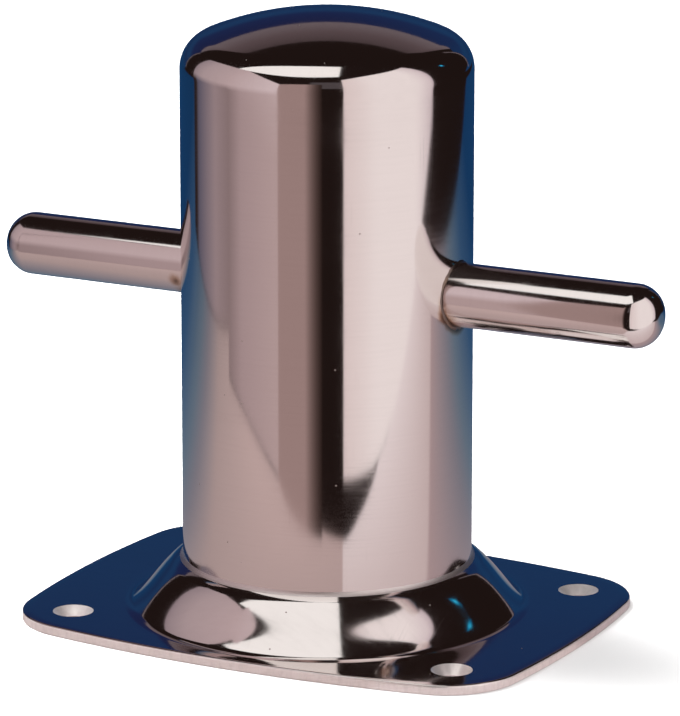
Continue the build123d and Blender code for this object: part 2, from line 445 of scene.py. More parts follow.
def neck_section(inset):
    """The neck from its rim out to the flat: crown, wall and foot. The hidden side has fewer steps."""
    crown_steps, wall_steps, foot_steps = SHOWN_STEPS if inset == 0 else HIDDEN_STEPS
    steep = 90 - degrees(wall_slope()) + (WALL_EASE if inset == 0 else 0)
    crown = NECK_CROWN_RADIUS - inset
    foot = NECK_FOOT_RADIUS + inset
    rim_r = pipe_radius + NECK_BEAD if inset == 0 else neck_hole_r
    rim_angle = degrees(acos((rim_r - crown_r) / crown))
    crown_arc = arc((crown_r, crown_z), crown, rim_angle, steep, crown_steps)
    foot_arc = arc((neck_foot_r, foot_z), foot, 180 + steep, 270, foot_steps)
    downhill = (sin(radians(steep)), -cos(radians(steep)))
    return crown_arc + eased_wall(crown_arc[-1], foot_arc[0], downhill, wall_steps) + foot_arc


print("neck wall slopes", round(degrees(wall_slope()), 1), "degrees")

# %% [markdown]
# The outline is eight arcs: four long bows for the sides and four short ones for the corners, each
# meeting the next at a common direction. A rounded rectangle with straight sides would be simpler,
# but a pressed plate bows, and its rim shows it. One quarter is worked out and mirrored.

# %% The plate's outline
ARC_STEPS = 60  # steps on half a short side, on a corner, and on half a long side


def side_arcs():
    """Where the long and the short bow and the corner are centred, and the corner's two end angles."""
    corner_long = LONG_SIDE_BOW - CORNER_RADIUS
    corner_short = SHORT_SIDE_BOW - CORNER_RADIUS
    long_centre, short_centre = half_width - LONG_SIDE_BOW, half_length - SHORT_SIDE_BOW
    # the corner's centre is as far from each bow's centre as that bow's radius less the corner's own
    gap = hypot(short_centre, long_centre)
    middle = (corner_short**2 - corner_long**2 + gap**2) / (2 * gap)
    off = sqrt(corner_short**2 - middle**2)
    ux, uy = -short_centre / gap, long_centre / gap
    corner = (short_centre + ux * middle - uy * off, uy * middle + ux * off)
    low = atan2(corner[1], corner[0] - short_centre)
    high = atan2(corner[1] - long_centre, corner[0])
    return long_centre, short_centre, corner, low, high


def plate_edge():
    """Points of the outline, each with the angle that faces outwards, evenly spread on each arc."""
    long_centre, short_centre, corner, low, high = side_arcs()
    quarter = []
    runs = (
        ((short_centre, 0.0), SHORT_SIDE_BOW, 0.0, low),
        (corner, CORNER_RADIUS, low, high),
        ((0.0, long_centre), LONG_SIDE_BOW, high, pi / 2),
    )
    for centre, radius, start, end in runs:
        for k in range(ARC_STEPS):
            t = start + (end - start) * k / ARC_STEPS
            quarter.append((centre[0] + radius * cos(t), centre[1] + radius * sin(t), t))
    top = (0.0, half_width, pi / 2)
    second = [(-x, y, pi - t) for x, y, t in reversed(quarter[1:])]
    upper = quarter + [top] + second + [(-half_length, 0.0, pi)]
    lower = [(x, -y, -t) for x, y, t in reversed(upper[1:-1])]
    return upper + lower


print("outline has", len(plate_edge()), "points")

# %% [markdown]
# The rings start at the neck's rim, run down the neck and over the flat, round the plate's edge,
# and come back underneath. On the flat each ring is a share of the way from the neck's foot to the
# outline, so round rings turn into the plate's shape little by little.

# %% The plate
FLAT_SHARES = (0.15, 0.4, 0.7, 0.9)
TOP_EDGE_STEPS, BOTTOM_EDGE_STEPS = 8, 6


def plate_rows():
    """Rings of the plate: neck, flat, edge, underside, and the neck's hidden side."""
    edge = plate_edge()
    inner_turns = [atan2(y, x) for x, y, t in edge]
    rows = [[(r * cos(t), r * sin(t), z) for t in inner_turns] for r, z in neck_section(0)]

    def blended(share, z, inset):
        """A ring part of the way from the neck's foot to the outline, which is drawn in by inset."""
        ring = []
        for (x, y, t), turn in zip(edge, inner_turns):
            ex, ey = x - inset * cos(t), y - inset * sin(t)
            cx, cy = neck_foot_r * cos(turn), neck_foot_r * sin(turn)
            ring.append((cx + (ex - cx) * share, cy + (ey - cy) * share, z))
        return ring

    for share in FLAT_SHARES:
        rows.append(blended(share, PLATE_THICKNESS, TOP_EDGE_ROUNDING))
    for k in range(TOP_EDGE_STEPS + 1):
        t = pi / 2 * k / TOP_EDGE_STEPS
        drop = TOP_EDGE_ROUNDING * (1 - cos(t))
        rows.append(blended(1, PLATE_THICKNESS - drop, TOP_EDGE_ROUNDING * (1 - sin(t))))
    for k in range(BOTTOM_EDGE_STEPS + 1):
        t = pi / 2 * k / BOTTOM_EDGE_STEPS
        lift = BOTTOM_EDGE_ROUNDING * (1 - sin(t))
        rows.append(blended(1, lift, BOTTOM_EDGE_ROUNDING * (1 - cos(t))))
    for share in reversed(FLAT_SHARES):
        rows.append(blended(share, 0.0, BOTTOM_EDGE_ROUNDING))
    for r, z in reversed(neck_section(PLATE_THICKNESS)):
        rows.append([(r * cos(t), r * sin(t), z) for t in inner_turns])
    return rows


plate = grid_mesh("deck_plate", plate_rows())
print("plate before drilling:", len(plate.data.polygons), "faces")

# %% [markdown]
# The four screw holes are countersunk. The cutter is one turned shape: a drill, a ninety degree
# cone, and a hair of rounding where the cone meets the plate, because a polishing wheel always
# takes the sharp edge off.

# %% Screw holes
EDGE_BREAK = 0.25 * MM
FOOT_FLARE = 0.3 * MM  # the cutter flares below the plate, which breaks the hole's lower edge
FOOT_FLARE_UP = 0.2 * MM  # how far up into the plate the flare reaches
CUTTER_SPARE = 2 * MM  # how far the cutter stands out of the plate
RIM_STEPS = 5
HOLE_STEPS = 72


def screw_cutter(x, y):
    """A drill and countersink in one, with its rim rolled outwards by the polishing."""
    sink_z = PLATE_THICKNESS - (COUNTERSINK_RADIUS - SCREW_HOLE_RADIUS)
    outline = [
        (SCREW_HOLE_RADIUS + FOOT_FLARE, -CUTTER_SPARE),
        (SCREW_HOLE_RADIUS + FOOT_FLARE, -FOOT_FLARE),
        (SCREW_HOLE_RADIUS, FOOT_FLARE_UP),
        (SCREW_HOLE_RADIUS, sink_z),
    ]
    for k in range(RIM_STEPS + 1):
        t = pi / 4 + pi / 4 * k / RIM_STEPS
        rim_r = COUNTERSINK_RADIUS + EDGE_BREAK * (sin(t) - 0.4)
        outline.append((rim_r, PLATE_THICKNESS - EDGE_BREAK * (1 - sin(t)) * 0.6))
    outline.append((COUNTERSINK_RADIUS + EDGE_BREAK, PLATE_THICKNESS + CUTTER_SPARE))
    rows = [[(x + px, y + py, z) for px, py, z in ring] for ring in spin(outline, HOLE_STEPS)]
    return rod_mesh("screw_cutter", rows)


for side_x in (-1, 1):
    for side_y in (-1, 1):
        cut(plate, screw_cutter(side_x * SCREW_X, side_y * SCREW_Y))
stands_for(plate, "base_plate")

# %% [markdown]
# ## The welds
#
# Four runs of weld show, or could. Round the pipe's foot a narrow bead is dressed slightly
# hollow. Round the bar, where it leaves the pipe, the bead is a small rolled fillet: a ball that
# touches the bar and the pipe at once would roll along it. Where it was hard to reach, underneath,
# the welder left it fuller. Below the neck a plain bead keeps its ripples, because nobody sees it.

# %% Bead round the pipe's foot
FACE_STEPS = 8
FACE_HOLLOW = 0.16  # share of the way that the bead's face is drawn in towards the corner


def on_crown(r, inset=0.0):
    """Height of the neck's crown at a distance from the post's axis."""
    return crown_z + sqrt((NECK_CROWN_RADIUS - inset) ** 2 - (r - crown_r) ** 2)


def neck_bead_rows():
    """The bead's rings: its root on the pipe, its toe on the neck, and its hollow face back up."""
    toe_r = pipe_radius + NECK_BEAD
    root = (pipe_radius, neck_top_z - NECK_BEAD_ROOT)
    toe = (toe_r, on_crown(toe_r))
    top = (pipe_radius, neck_top_z + NECK_BEAD)
    corner = (pipe_radius, neck_top_z)
    face = [root, toe]
    for k in range(1, FACE_STEPS):
        share = k / FACE_STEPS
        straight = [a + (b - a) * share for a, b in zip(toe, top)]
        hollow = FACE_HOLLOW * 4 * share * (1 - share)
        face.append(tuple(s + (c - s) * hollow for s, c in zip(straight, corner)))
    return spin(face + [top])


neck_bead = grid_mesh("neck_bead", neck_bead_rows())
stands_for(neck_bead, "neck_weld_top")

# %% [markdown]
# The bar's beads are rolled fillets. At each direction round the bar, `ball` is the radius of a
# ball that touches bar and pipe, and the bead's face is the arc between its two touching points. A
# few waves of different lengths make the ball uneven, which a bevel modifier couldn't do.

# %% Beads round the bar
BEAD_STEPS = 180
BALL_STEPS = 10
ROOT_DEPTH = 0.2 * MM


def bar_bead(name, side):
    """The bead round one side of the bar, fuller underneath."""
    rows = []
    for k in range(BEAD_STEPS):
        t = 2 * pi * k / BEAD_STEPS
        full = 0.5 * max(0.0, -cos(t)) ** 6 * (1 + 0.35 * sin(19 * t))
        ball = BAR_BEAD * (0.62 + 0.08 * sin(11 * t) + 0.06 * sin(23 * t + 1) + full)
        y = (bar_radius + ball) * sin(t)
        z = (bar_radius + ball) * cos(t)
        x = sqrt((pipe_radius + ball) ** 2 - y * y)
        centre = Vector((x, y, z))
        on_bar = Vector((x, bar_radius * sin(t), bar_radius * cos(t)))
        shrink = pipe_radius / (pipe_radius + ball)
        on_pipe = Vector((x * shrink, y * shrink, z))
        root_y = bar_radius * sin(t)
        root_x = sqrt(pipe_radius**2 - root_y**2) - ROOT_DEPTH
        root = Vector((root_x, root_y, bar_radius * cos(t)))
        spread = (on_bar - centre).angle(on_pipe - centre)
        section = [root]
        for j in range(BALL_STEPS + 1):
            share = j / BALL_STEPS
            a = sin((1 - share) * spread) / sin(spread)
            b = sin(share * spread) / sin(spread)
            section.append(centre + (on_bar - centre) * a + (on_pipe - centre) * b)
        rows.append([(side * p.x, side * p.y, bar_z + p.z) for p in reversed(section)])
    bead = grid_mesh(name, rows)
    stands_for(bead, "bar_weld_right" if side > 0 else "bar_weld_left")
    return bead


bar_bead_right = bar_bead("bar_bead_right", 1)
bar_bead_left = bar_bead("bar_bead_left", -1)

# %% [markdown]
# The bead below the neck is as it was laid: full, with ripples and a toe that wanders. It is rings
# of one section whose points move with the ripple, so the ripples are real shape.

# %% Bead below the neck
RIPPLES = 92
RIPPLE_HEIGHT = 0.06 * MM
RIPPLED_STEPS = 720
BULGE = 0.35 * MM


def under_neck(r):
    """Height of the neck's underside: its crown, then its straight wall."""
    turn, inner = wall_slope(), NECK_CROWN_RADIUS - PLATE_THICKNESS
    crown_end = crown_r + inner * sin(turn)
    if r <= crown_end:
        return on_crown(r, PLATE_THICKNESS)
    return crown_z + inner * cos(turn) - (r - crown_end) * tan(turn)


def under_bead_rows():
    """A full bead with ripples and a slightly wandering toe."""
    rows = []
    reach = 0.58 * UNDER_BEAD
    for k in range(RIPPLED_STEPS):
        t = 2 * pi * k / RIPPLED_STEPS
        ripple = RIPPLE_HEIGHT * sin(RIPPLES * t + 0.8 * sin(5 * t))
        toe = reach * (1 + 0.03 * sin(7 * t) + 0.02 * sin(17 * t + 1.0)) + ripple
        fit = [pipe_radius + toe * share for share in (0, 0.35, 0.7, 1)]
        section = [(r, under_neck(max(r, neck_hole_r)) + 0.05 * MM) for r in fit]
        start, end = section[-1], (pipe_radius, section[0][1] - UNDER_BEAD + ripple)
        for j in range(1, 10):
            share = j / 10
            bulge = (BULGE + ripple) * 4 * share * (1 - share)
            section.append((
                start[0] + (end[0] - start[0]) * share + bulge * 0.7,
                start[1] + (end[1] - start[1]) * share - bulge * 0.7,
            ))
        section.append(end)
        rows.append([(r * cos(t), r * sin(t), z) for r, z in section])
    return rows


under_bead = grid_mesh("under_bead", under_bead_rows())
stands_for(under_bead, "neck_weld_under")

# %% [markdown]
# ## What the polish shares
#
# Mirror polish is never perfect. Close up there are buffing lines that follow the way the piece
# was held to the wheel, a few stray scratches from handling, faint cloudy patches where polishing
# wax was wiped, and specks of dust. Each of these is one node group, built once. A group hands
# out masks, colours or normals only, and every material mixes them in with its own strength.

# %% Helpers for materials
def new_group(name, inputs, outputs):
    """A node group with its sockets: (name, kind, default) in, (name, kind) out."""
    group = bpy.data.node_groups.new(name, "ShaderNodeTree")
    for label, kind, default in inputs:
        socket = group.interface.new_socket(label, in_out="INPUT", socket_type=kind)
        if default is not None:
            socket.default_value = default
    for label, kind in outputs:
        group.interface.new_socket(label, in_out="OUTPUT", socket_type=kind)
    return group, group.nodes.new("NodeGroupInput"), group.nodes.new("NodeGroupOutput")


def node(tree, kind, values=None, **settings):
    """A new node with its settings, and with plain values on its inputs."""
    made = tree.nodes.new(kind)
    for key, value in settings.items():
        setattr(made, key, value)
    for key, value in (values or {}).items():
        made.inputs[key].default_value = value
    return made


def maths(tree, operation, a, b=None, c=None, clamp=False):
    """A math node: each of a, b and c is a socket or a number."""
    made = node(tree, "ShaderNodeMath", operation=operation, use_clamp=clamp)
    for socket, value in zip(made.inputs, (a, b, c)):
        if value is None:
            continue
        if isinstance(value, (int, float)):
            socket.default_value = value
        else:
            tree.links.new(value, socket)
    return made.outputs[0]


def mixed(tree, share, a, b):
    """A colour between a and b; each is a socket or a colour."""
    made = node(tree, "ShaderNodeMix", data_type="RGBA")
    for socket, value in zip((made.inputs[0], made.inputs[6], made.inputs[7]), (share, a, b)):
        if isinstance(value, (int, float, tuple)):
            socket.default_value = value
        else:
            tree.links.new(value, socket)
    return made.outputs[2]


def ramped(tree, value, low, high):
    """0 below low and 1 above high, smoothly."""
    made = node(tree, "ShaderNodeMapRange", {1: low, 2: high}, interpolation_type="SMOOTHSTEP")
    tree.links.new(value, made.inputs[0])
    return made.outputs[0]


print("node helpers: a group, a node, maths, a mix and a ramp")

# %% [markdown]
# Buffing lines are noise stretched a lot along one direction. A texture of scratches would do the
# same, but noise never repeats and needs no unwrapping. `Stretch` sets how fine they are each way.

# %% Buffing lines
def build_buffing():
    """Very fine lines along one direction: a mask and a height."""
    group, given, gives = new_group(
        "buffing_lines",
        [("Vector", "NodeSocketVector", None), ("Stretch", "NodeSocketVector", (1, 1, 1))],
        [("Mask", "NodeSocketFloat"), ("Height", "NodeSocketFloat")],
    )
    scaled = node(group, "ShaderNodeVectorMath", operation="MULTIPLY")
    group.links.new(given.outputs["Vector"], scaled.inputs[0])
    group.links.new(given.outputs["Stretch"], scaled.inputs[1])
    fine = node(group, "ShaderNodeTexNoise", {"Scale": 1.0, "Detail": 3.0, "Roughness": 0.6})
    group.links.new(scaled.outputs[0], fine.inputs["Vector"])
    mask = ramped(group, fine.outputs["Fac"], 0.42, 0.68)
    group.links.new(mask, gives.inputs["Mask"])
    group.links.new(fine.outputs["Fac"], gives.inputs["Height"])
    return group


buffing = build_buffing()
print("made", buffing.name)

# %% [markdown]
# Handling leaves single hairlines that cross each other. Each direction is turned noise, so long
# that only its highest crests show as lines, and a slow noise keeps them in patches.

# %% Stray scratches
def build_scratches():
    """Straight hairlines in three directions, here and there."""
    group, given, gives = new_group(
        "stray_scratches",
        [("Vector", "NodeSocketVector", None), ("Fineness", "NodeSocketFloat", 5200.0)],
        [("Mask", "NodeSocketFloat")],
    )
    found = []
    for turn in ((0.4, 0.2, 0.9), (-0.7, 0.5, -0.4), (1.3, -0.6, 0.2)):
        placed = node(group, "ShaderNodeMapping", {"Rotation": turn, "Scale": (1.0, 0.004, 0.012)})
        group.links.new(given.outputs["Vector"], placed.inputs["Vector"])
        lines = node(group, "ShaderNodeTexNoise", {"Detail": 0.0})
        group.links.new(placed.outputs[0], lines.inputs["Vector"])
        group.links.new(given.outputs["Fineness"], lines.inputs["Scale"])
        found.append(ramped(group, lines.outputs["Fac"], 0.80, 0.86))
    first = maths(group, "MAXIMUM", found[0], found[1])
    patch = node(group, "ShaderNodeTexNoise", {"Scale": 48.0, "Detail": 2.0})
    group.links.new(given.outputs["Vector"], patch.inputs["Vector"])
    some = ramped(group, patch.outputs["Fac"], 0.42, 0.62)
    every = maths(group, "MULTIPLY", maths(group, "MAXIMUM", first, found[2]), some)
    group.links.new(every, gives.inputs["Mask"])
    return group


scratches = build_scratches()
print("made", scratches.name)

# %% [markdown]
# Haze is a cloudy noise. Dust is the middle of some Voronoi cells: each cell has one point, and a
# random number taken from the cell's colour decides whether a speck lies there.

# %% Wiped haze and dust
def build_haze():
    """Cloudy patches of wiped wax, and single specks of dust."""
    group, given, gives = new_group(
        "haze_and_dust",
        [("Vector", "NodeSocketVector", None)],
        [("Haze", "NodeSocketFloat"), ("Specks", "NodeSocketFloat")],
    )
    cloud_look = {"Scale": 26.0, "Detail": 4.0, "Roughness": 0.55, "Distortion": 0.6}
    cloud = node(group, "ShaderNodeTexNoise", cloud_look)
    group.links.new(given.outputs["Vector"], cloud.inputs["Vector"])
    group.links.new(ramped(group, cloud.outputs["Fac"], 0.45, 0.75), gives.inputs["Haze"])
    cells = node(group, "ShaderNodeTexVoronoi", {"Scale": 210.0, "Randomness": 1.0}, feature="F1")
    group.links.new(given.outputs["Vector"], cells.inputs["Vector"])
    near = maths(group, "LESS_THAN", cells.outputs["Distance"], 0.045)
    split = node(group, "ShaderNodeSeparateColor")
    group.links.new(cells.outputs["Color"], split.inputs[0])
    chosen = maths(group, "GREATER_THAN", split.outputs[0], 0.78)
    group.links.new(maths(group, "MULTIPLY", near, chosen), gives.inputs["Specks"])
    return group


haze = build_haze()
print("made", haze.name)

# %% [markdown]
# Beside a weld, heat colours the steel: brown where it was hottest, then straw, then nothing. The
# group takes a distance to the weld, which each material works out for itself, makes its edge
# waver with noise, and looks the tint up in a colour ramp. On the bar's beads it lies all over,
# and there its dark brown is painted shade for the thin crease where bar and pipe meet.

# %% Heat tint
# the darkest brown is also the painted shade in the crease round the bar's beads
HEAT_AND_CREASE_BROWN = (0.10, 0.055, 0.035, 1)
HEAT_BRONZE = (0.42, 0.24, 0.12, 1)
HEAT_STRAW = (0.72, 0.55, 0.36, 1)


def build_heat():
    """The brown to straw tint beside a weld: from a distance, how strong it is and its colour."""
    group, given, gives = new_group(
        "heat_tint_and_crease_shade",
        [("Vector", "NodeSocketVector", None), ("Distance", "NodeSocketFloat", 1.0),
         ("Reach", "NodeSocketFloat", 0.003)],
        [("Mask", "NodeSocketFloat"), ("Tint", "NodeSocketColor")],
    )
    waver = node(group, "ShaderNodeTexNoise", {"Scale": 180.0, "Detail": 3.0})
    group.links.new(given.outputs["Vector"], waver.inputs["Vector"])
    share = maths(group, "DIVIDE", given.outputs["Distance"], given.outputs["Reach"])
    either_way = maths(group, "SUBTRACT", waver.outputs["Fac"], 0.5)
    share = maths(group, "ADD", share, maths(group, "MULTIPLY", either_way, 1.2))
    strength = maths(group, "SUBTRACT", 1.0, ramped(group, share, 0.1, 1.0))
    colours = node(group, "ShaderNodeValToRGB")
    hottest, coolest = colours.color_ramp.elements
    hottest.position, hottest.color = 0.0, HEAT_AND_CREASE_BROWN
    coolest.position, coolest.color = 1.0, HEAT_STRAW
    middle = colours.color_ramp.elements.new(0.45)
    middle.color = HEAT_BRONZE
    group.links.new(share, colours.inputs[0])
    group.links.new(strength, gives.inputs["Mask"])
    group.links.new(colours.outputs["Color"], gives.inputs["Tint"])
    return group


heat = build_heat()
print("groups:", [g.name for g in bpy.data.node_groups])

# %% [markdown]
# ## The polished steel
#
# One function makes all the polished materials, because they are the same steel from the same
# wheel: only the direction of the buffing lines, the amount of haze and where welding heat
# reached are different. The steel is a metal with a warm grey colour. Its roughness is low, and
# wavers with the haze and the lines, so that reflections are clear but not computer-perfect.
# The lines also tilt the surface very slightly, and a slow waviness bends long reflections.

# %% Polished steel
STEEL = (0.840, 0.800, 0.785, 1)
STEEL_PALE = (0.95, 0.89, 0.87, 1)
STEEL_WORN = (0.70, 0.655, 0.64, 1)
DUST = (0.62, 0.58, 0.55, 1)


def polished(name, stretch, roughness=0.07, waviness=0.02, haze_share=0.05, heat_from=None):
    """A mirror-polished steel. heat_from gives the distance to a weld, if any, and the heat's reach."""
    material = bpy.data.materials.new(name)
    material.use_nodes = True
    tree = material.node_tree
    shader = tree.nodes["Principled BSDF"]
    shader.inputs["Metallic"].default_value = 1.0
    place = node(tree, "ShaderNodeTexCoord").outputs["Object"]

    lines = node(tree, "ShaderNodeGroup", {"Stretch": stretch}, node_tree=buffing)
    stray = node(tree, "ShaderNodeGroup", node_tree=scratches)
    film = node(tree, "ShaderNodeGroup", node_tree=haze)
    for part in (lines, stray, film):
        tree.links.new(place, part.inputs["Vector"])

    colour = mixed(tree, maths(tree, "MULTIPLY", lines.outputs["Mask"], 0.08), STEEL, STEEL_WORN)
    colour = mixed(tree, maths(tree, "MULTIPLY", film.outputs["Haze"], 0.10), colour, STEEL_WORN)
    colour = mixed(tree, maths(tree, "MULTIPLY", stray.outputs["Mask"], 0.2), colour, STEEL_WORN)
    if heat_from is not None:
        tint = node(tree, "ShaderNodeGroup", node_tree=heat)
        tree.links.new(place, tint.inputs["Vector"])
        distance, reach = heat_from(tree, place)
        if distance is None:
            tint.inputs["Distance"].default_value = 0.0
        else:
            tree.links.new(distance, tint.inputs["Distance"])
        tint.inputs["Reach"].default_value = reach
        strength = maths(tree, "MULTIPLY", tint.outputs["Mask"], 0.85)
        colour = mixed(tree, strength, colour, tint.outputs["Tint"])
    colour = mixed(tree, film.outputs["Specks"], colour, DUST)
    tree.links.new(colour, shader.inputs["Base Color"])

    rough = maths(tree, "MULTIPLY_ADD", film.outputs["Haze"], haze_share, roughness)
    rough = maths(tree, "MULTIPLY_ADD", lines.outputs["Mask"], 0.02, rough)
    rough = maths(tree, "MULTIPLY_ADD", stray.outputs["Mask"], 0.06, rough)
    rough = maths(tree, "MULTIPLY_ADD", film.outputs["Specks"], 0.5, rough, clamp=True)
    tree.links.new(rough, shader.inputs["Roughness"])

    slow = node(tree, "ShaderNodeTexNoise", {"Scale": 34.0, "Detail": 1.0})
    tree.links.new(place, slow.inputs["Vector"])
    height = maths(tree, "MULTIPLY", slow.outputs["Fac"], waviness)
    height = maths(tree, "MULTIPLY_ADD", lines.outputs["Height"], 0.0006, height)
    height = maths(tree, "MULTIPLY_ADD", stray.outputs["Mask"], -0.0002, height)
    bump = node(tree, "ShaderNodeBump", {"Strength": 1.0, "Distance": 0.001})
    tree.links.new(height, bump.inputs["Height"])
    tree.links.new(bump.outputs[0], shader.inputs["Normal"])
    return material


print("steel colours:", STEEL, STEEL_WORN)

# %% [markdown]
# Where the heat reached is worked out from places in the frame, so it moves with the sizes. The
# tint is strongest low down, where the bead is fullest, and in one dark spot low on the front of
# the bar's left side, beside the pipe.

# %% Where the welding heat reached
BAR_HEAT_REACH = 4.2 * MM
PIPE_HEAT_REACH = 1.8 * MM
BEAD_TINT_AND_SHADE_REACH = 2.0 * MM
# a dark brown spot low on the front of the bar's left side, beside the pipe
LEFT_DARK_SPOT = (-pipe_radius - 2.6 * MM, -bar_radius * 0.9, bar_z - bar_radius * 0.44)


def from_bar_root(tree, place):
    """On the bar: the distance from the pipe's side, or from the dark spot on its left, whichever is less.
    """
    split = node(tree, "ShaderNodeSeparateXYZ")
    tree.links.new(place, split.inputs[0])
    along = maths(tree, "SUBTRACT", maths(tree, "ABSOLUTE", split.outputs["X"]), pipe_radius)
    above = maths(tree, "SUBTRACT", split.outputs["Z"], bar_z - bar_radius * 0.75)
    faded = maths(tree, "MAXIMUM", maths(tree, "MULTIPLY", above, 0.55), 0.0)
    ring = maths(tree, "ADD", maths(tree, "ABSOLUTE", along), faded)
    to_left_spot = node(tree, "ShaderNodeVectorMath", {1: LEFT_DARK_SPOT}, operation="DISTANCE")
    tree.links.new(place, to_left_spot.inputs[0])
    spot = maths(tree, "MULTIPLY", to_left_spot.outputs["Value"], 1.6)
    return maths(tree, "MINIMUM", ring, spot), BAR_HEAT_REACH


def from_bar_hole(tree, place):
    """On the pipe: the distance from the bar's weld."""
    split = node(tree, "ShaderNodeSeparateXYZ")
    tree.links.new(place, split.inputs[0])
    up = maths(tree, "SUBTRACT", split.outputs["Z"], bar_z)
    across = maths(tree, "MULTIPLY", split.outputs["Y"], split.outputs["Y"])
    squares = maths(tree, "ADD", maths(tree, "MULTIPLY", up, up), across)
    beyond = maths(tree, "SUBTRACT", maths(tree, "POWER", squares, 0.5), bar_radius + BAR_BEAD)
    above = maths(tree, "MULTIPLY", maths(tree, "ADD", up, bar_radius * 0.6), 0.5)
    outside_bead = maths(tree, "MAXIMUM", beyond, 0.0)
    return maths(tree, "ADD", outside_bead, maths(tree, "MAXIMUM", above, 0.0)), PIPE_HEAT_REACH


def heat_and_crease_shade_on_bead(tree, place):
    """The whole bead is tinted, at no distance: heat tint, and painted shade for the crease where the bar
    meets the pipe.
    """
    return None, BEAD_TINT_AND_SHADE_REACH


# %% The polished pieces' steels
tube_steel = polished("polished_tube", (60, 60, 2600), heat_from=from_bar_hole)
cap_steel = polished("polished_cap", (500, 500, 500), roughness=0.06)
bar_steel = polished("polished_bar", (3000, 90, 90), roughness=0.09, heat_from=from_bar_root)
plate_steel = polished(
    "polished_plate", (160, 900, 160), roughness=0.06, waviness=0.005, haze_share=0.04
)
print("steels:", [m.name for m in (tube_steel, cap_steel, bar_steel, plate_steel)])

# %% [markdown]
# ## The sheared edge and the holes
#
# The plate's rim and its countersinks are not mirror-bright: they were only linished, so they
# look satin and pale. They are part of the same piece, so the plate has a second material, given
# to the faces of the rim and of the holes.

# %% Satin edge
SATIN_METALLIC = 0.8  # a linished face scatters part of its light in every direction


def satin(name, roughness, stretch):
    """Linished steel: pale, with coarse short lines."""
    material = bpy.data.materials.new(name)
    material.use_nodes = True
    tree = material.node_tree
    shader = tree.nodes["Principled BSDF"]
    shader.inputs["Metallic"].default_value = SATIN_METALLIC
    place = node(tree, "ShaderNodeTexCoord").outputs["Object"]
    lines = node(tree, "ShaderNodeGroup", {"Stretch": stretch}, node_tree=buffing)
    film = node(tree, "ShaderNodeGroup", node_tree=haze)
    for part in (lines, film):
        tree.links.new(place, part.inputs["Vector"])
    colour = mixed(tree, maths(tree, "MULTIPLY", lines.outputs["Mask"], 0.25), STEEL_PALE, STEEL_WORN)
    colour = mixed(tree, maths(tree, "MULTIPLY", film.outputs["Haze"], 0.3), colour, STEEL_WORN)
    tree.links.new(colour, shader.inputs["Base Color"])
    rough = maths(tree, "MULTIPLY_ADD", lines.outputs["Mask"], 0.12, roughness)
    tree.links.new(rough, shader.inputs["Roughness"])
    bump = node(tree, "ShaderNodeBump", {"Strength": 0.5, "Distance": 0.00004})
    tree.links.new(lines.outputs["Height"], bump.inputs["Height"])
    tree.links.new(bump.outputs[0], shader.inputs["Normal"])
    return material


edge_steel = satin("satin_edge", 0.34, (900, 900, 300))
weld_steel = polished("dressed_weld", (700, 700, 900), roughness=0.42, waviness=0.10)
# the bar's beads take the tint all over: heat tint, and painted shade for the thin dark crease where bar
# and pipe meet
bar_weld_heat_and_crease_shade = polished(
    "weld_tint_and_crease_shade", (700, 700, 900), roughness=0.28, waviness=0.14, heat_from=heat_and_crease_shade_on_bead
)
raw_steel = satin("raw_weld", 0.42, (500, 500, 500))


def paint(piece, *materials):
    """Gives the piece its materials."""
    piece.data.materials.clear()
    for material in materials:
        piece.data.materials.append(material)


paint(pipe, tube_steel)
paint(seam, tube_steel)
paint(cap, cap_steel)
paint(bar, bar_steel)
paint(plate, plate_steel, edge_steel)
paint(neck_bead, weld_steel)
for bead in (bar_bead_right, bar_bead_left):
    paint(bead, bar_weld_heat_and_crease_shade)
paint(under_bead, raw_steel)


def is_satin(face):
    """The plate's rim, and everything inside a screw hole."""
    x, y, z = face.center
    if z > PLATE_THICKNESS - 0.02 * MM or z < 0.1 * MM:  # the polished top, and the underside
        return False
    in_hole = hypot(abs(x) - SCREW_X, abs(y) - SCREW_Y) < COUNTERSINK_RADIUS + EDGE_BREAK
    return in_hole or (face.normal.z < 0.55 and hypot(x, y) > neck_foot_r + 1 * MM)


for face in plate.data.polygons:
    face.material_index = 1 if is_satin(face) else 0
print("satin faces:", sum(face.material_index for face in plate.data.polygons))

# %% [markdown]
# ## The floor
#
# The floor is plain, pale and matt. It takes the soft shadow, but the mirror doesn't see it:
# polished steel standing on white paper shows mostly paper, and in a studio that paper is hidden
# from the metal with cards. Blender can do this directly, with an object's visibility to glossy
# rays.

# %% Floor
FLOOR_HALF = 12.0
FLOOR_GAP = 0.05 * MM  # keeps the floor off the plate's underside

floor_material = bpy.data.materials.new("pale_floor")
floor_material.use_nodes = True
floor_shader = floor_material.node_tree.nodes["Principled BSDF"]
floor_shader.inputs["Base Color"].default_value = (0.93, 0.93, 0.93, 1)
floor_shader.inputs["Roughness"].default_value = 0.9

floor_rows = [[(x, y, 0) for x in (-FLOOR_HALF, FLOOR_HALF)] for y in (-FLOOR_HALF, FLOOR_HALF)]
floor = grid_mesh("floor", floor_rows, rows_close=False, columns_close=False)
floor.location.z = -FLOOR_GAP
paint(floor, floor_material)
floor.visible_glossy = False
print("floor is", 2 * FLOOR_HALF, "metres wide")

# %% [markdown]
# ## The lamps
#
# Two square lamps light the floor: a small one behind on the left, whose shadow falls to the
# right, and a wide one overhead that softens it. Neither is mirrored. The world is a pale grey to
# the camera, and almost black to the mirror, so that only the cards show in the steel.

